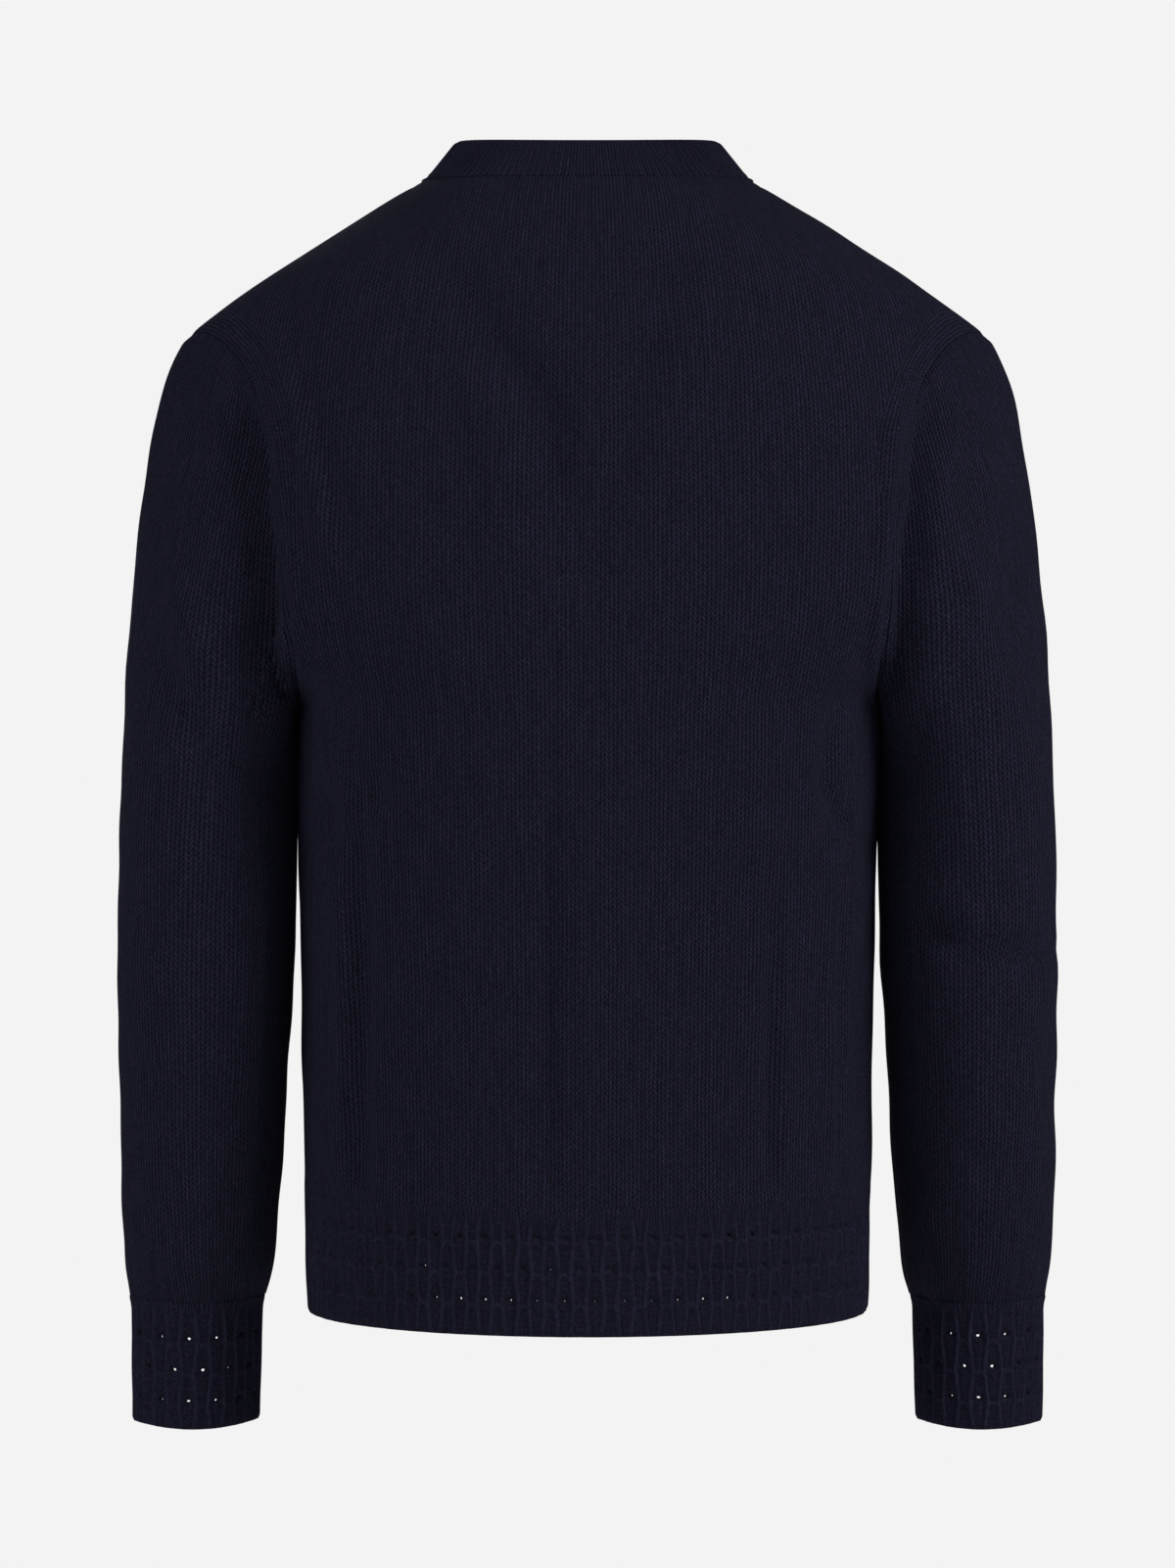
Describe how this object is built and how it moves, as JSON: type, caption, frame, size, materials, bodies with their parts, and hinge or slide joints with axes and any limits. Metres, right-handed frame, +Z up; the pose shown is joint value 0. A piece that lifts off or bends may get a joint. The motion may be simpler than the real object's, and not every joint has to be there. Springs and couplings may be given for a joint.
{
  "type": "cardigan",
  "caption": "Crew-neck buttoned knit cardigan with set-in sleeves and open-work ribbed hem and cuffs, hollow and filled out as if worn.",
  "frame": {"origin": "midway between the two points where the neckband meets the shoulder seams, where the garment hangs on the shoulders", "axes": "+Z up, -Y the way the wearer faces, +X the wearer's left"},
  "size_m": [0.5366, 0.2484, 0.7425],
  "materials": {
    "stockinette": "dark navy lambswool in plain stockinette, softly napped",
    "rib": "dark navy lambswool rib, with open work at the hem and cuffs",
    "button": "dark polished four-hole button"
  },
  "bodies": {
    "root": {"back": "stockinette", "front_left": "stockinette", "front_right": "stockinette", "sleeve_left": "stockinette", "sleeve_right": "stockinette", "neckband": "rib", "hem_band_back": "rib", "hem_band_front_left": "rib", "hem_band_front_right": "rib", "cuff_left": "rib", "cuff_right": "rib", "buttonhole_band": "rib", "button_band": "rib", "button_1": "button", "button_2": "button", "button_3": "button", "button_4": "button", "button_5": "button", "button_6": "button", "button_7": "button"}
  },
  "joints": []
}
